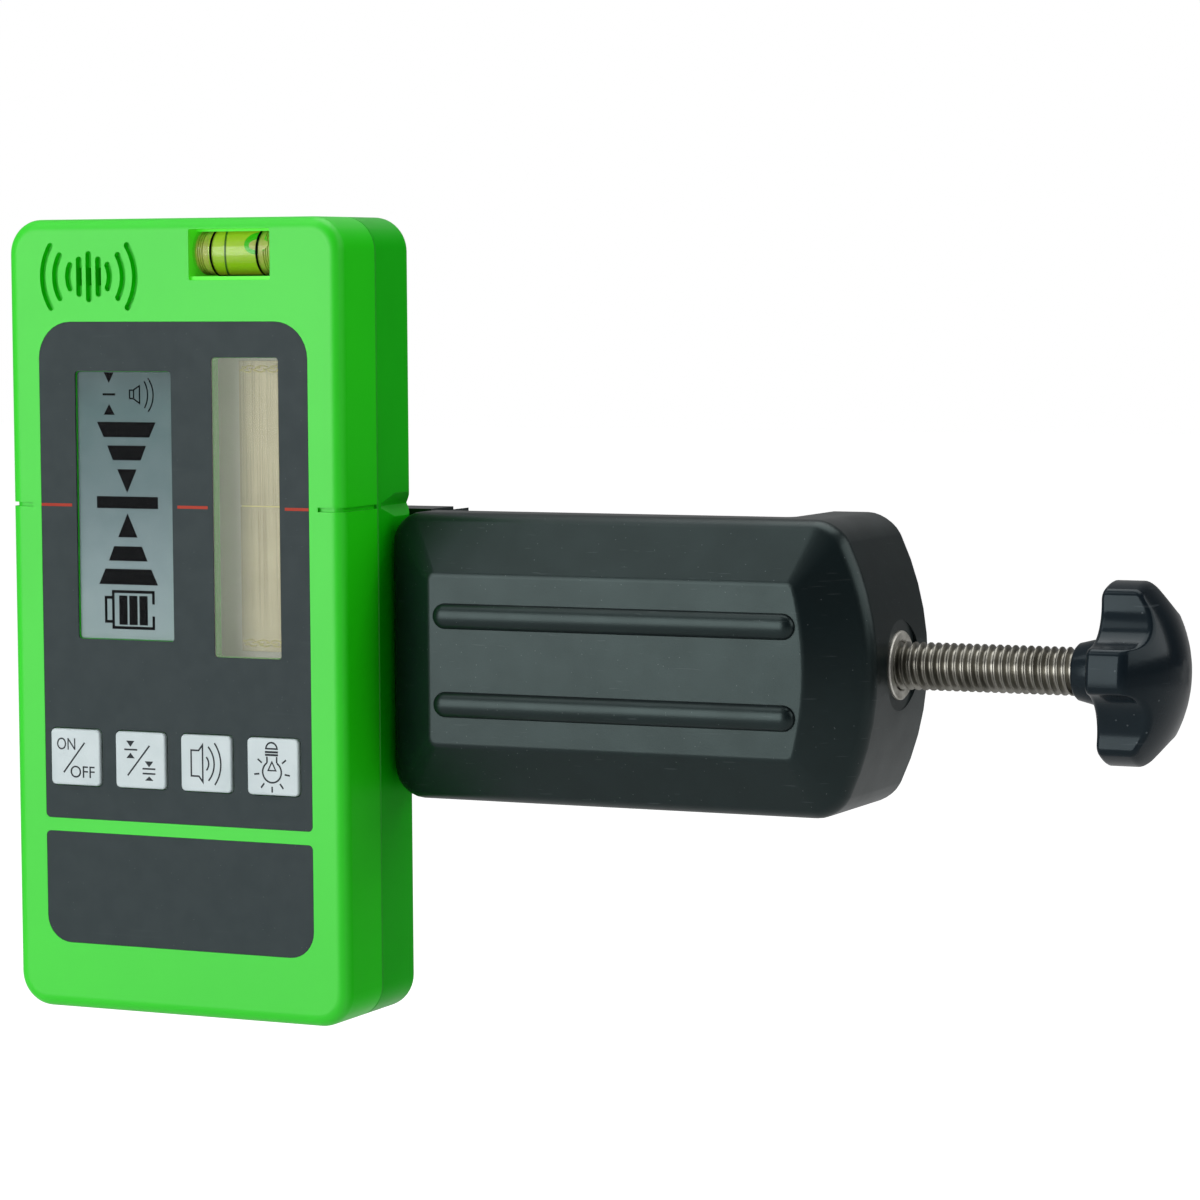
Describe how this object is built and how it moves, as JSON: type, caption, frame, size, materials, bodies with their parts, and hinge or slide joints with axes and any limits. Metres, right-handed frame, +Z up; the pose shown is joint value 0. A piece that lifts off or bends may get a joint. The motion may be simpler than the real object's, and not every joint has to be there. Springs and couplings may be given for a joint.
{
  "type": "laser receiver",
  "caption": "Handheld laser receiver with display, photocell window, keys and level vial, held by a C-shaped staff clamp with a thumb-knob screw.",
  "frame": {"origin": "middle of the receiver's bottom face", "axes": "+X from the receiver along the clamp towards its knob, -Y the display side, +Z up"},
  "size_m": [0.2411, 0.0535, 0.163],
  "materials": {
    "front_green": "satin moulded",
    "rear_green": "satin moulded",
    "label_film": "fine matte print",
    "clear_window": "clear",
    "lcd_glass": "clear over grey",
    "white_plastic": "satin",
    "key_plastic": "satin",
    "board": "solder mask",
    "dark_plastic": "moulded",
    "clamp_black": "satin moulded",
    "knob_black": "gloss",
    "rubber": "matte",
    "steel": "turned",
    "brass": "turned",
    "photocell": "gold, fine lines",
    "carrier": "matte",
    "vial_glass": "clear tint",
    "vial_liquid": "clear tint",
    "battery_can": "printed can",
    "red_wire": "pvc",
    "black_wire": "pvc"
  },
  "bodies": {
    "root": {"front_case": "front_green", "rear_case": "rear_green", "case_seal": "rubber", "case_screws": "steel", "front_label": "label_film", "lower_label": "label_film", "display_window": "clear_window", "sensor_window": "clear_window", "lcd_glass": "lcd_glass", "lcd_backlight": "white_plastic", "lcd_frame": "white_plastic", "contact_strips": "rubber", "main_board": "board", "board_screws": "steel", "controller_chip": "dark_plastic", "switch_bodies": "dark_plastic", "photocell_upper": "photocell", "photocell_lower": "photocell", "sensor_board": "carrier", "vial_tube": "vial_glass", "vial_liquid": "vial_liquid", "vial_plugs": "vial_glass", "vial_rings": "dark_plastic", "buzzer": "dark_plastic", "buzzer_gasket": "rubber", "battery": "battery_can", "battery_snap": "dark_plastic", "lead_red": "red_wire", "lead_black": "black_wire", "mount_insert": "brass", "clamp_frame": "clamp_black", "thread_insert": "steel"},
    "battery_door": {"battery_door": "rear_green"},
    "mount_washer": {"mount_washer": "steel"},
    "mount_screw": {"mount_screw": "clamp_black"},
    "pressure_shoe": {"pressure_shoe": "clamp_black", "shoe_pad": "rubber"},
    "clamp_screw": {"clamp_screw": "steel", "star_knob": "knob_black", "shoe_clip": "steel"},
    "key_power": {"key_power": "key_plastic", "plunger_power": "dark_plastic"},
    "key_accuracy": {"key_accuracy": "key_plastic", "plunger_accuracy": "dark_plastic"},
    "key_sound": {"key_sound": "key_plastic", "plunger_sound": "dark_plastic"},
    "key_light": {"key_light": "key_plastic", "plunger_light": "dark_plastic"}
  },
  "joints": [
    {"name": "key_power_press", "type": "slide", "parent": "root", "child": "key_power", "axis": [0, 1, 0], "range_m": [0, 0.0005], "stiffness_N_per_m": 1000, "springref_m": -0.0008},
    {"name": "key_accuracy_press", "type": "slide", "parent": "root", "child": "key_accuracy", "axis": [0, 1, 0], "range_m": [0, 0.0005], "stiffness_N_per_m": 1000, "springref_m": -0.0008},
    {"name": "key_sound_press", "type": "slide", "parent": "root", "child": "key_sound", "axis": [0, 1, 0], "range_m": [0, 0.0005], "stiffness_N_per_m": 1000, "springref_m": -0.0008},
    {"name": "key_light_press", "type": "slide", "parent": "root", "child": "key_light", "axis": [0, 1, 0], "range_m": [0, 0.0005], "stiffness_N_per_m": 1000, "springref_m": -0.0008},
    {"name": "door_slide", "type": "slide", "parent": "root", "child": "battery_door", "axis": [0, 0, -1], "range_m": [0, 0.03]},
    {"name": "shoe_slide", "type": "slide", "parent": "root", "child": "pressure_shoe", "axis": [-1, 0, 0], "range_m": [0, 0.03175]},
    {"name": "clamp_screw_turn", "type": "hinge", "parent": "pressure_shoe", "child": "clamp_screw", "pos_m": [0.16, 0.02, 0.0741], "axis": [-1, 0, 0], "range_deg": [0, 7201]},
    {"name": "washer_slide", "type": "slide", "parent": "root", "child": "mount_washer", "axis": [0, 1, 0], "range_m": [0, 0.00889]},
    {"name": "mount_screw_turn", "type": "hinge", "parent": "mount_washer", "child": "mount_screw", "pos_m": [0.02, 0.03, 0.0741], "axis": [0, 1, 0], "range_deg": [0, 2521]}
  ],
  "couplings": [
    {"joint": "clamp_screw_turn", "follows": "shoe_slide", "rad_per_m": 3957.9},
    {"joint": "mount_screw_turn", "follows": "washer_slide", "rad_per_m": 4947.4}
  ]
}
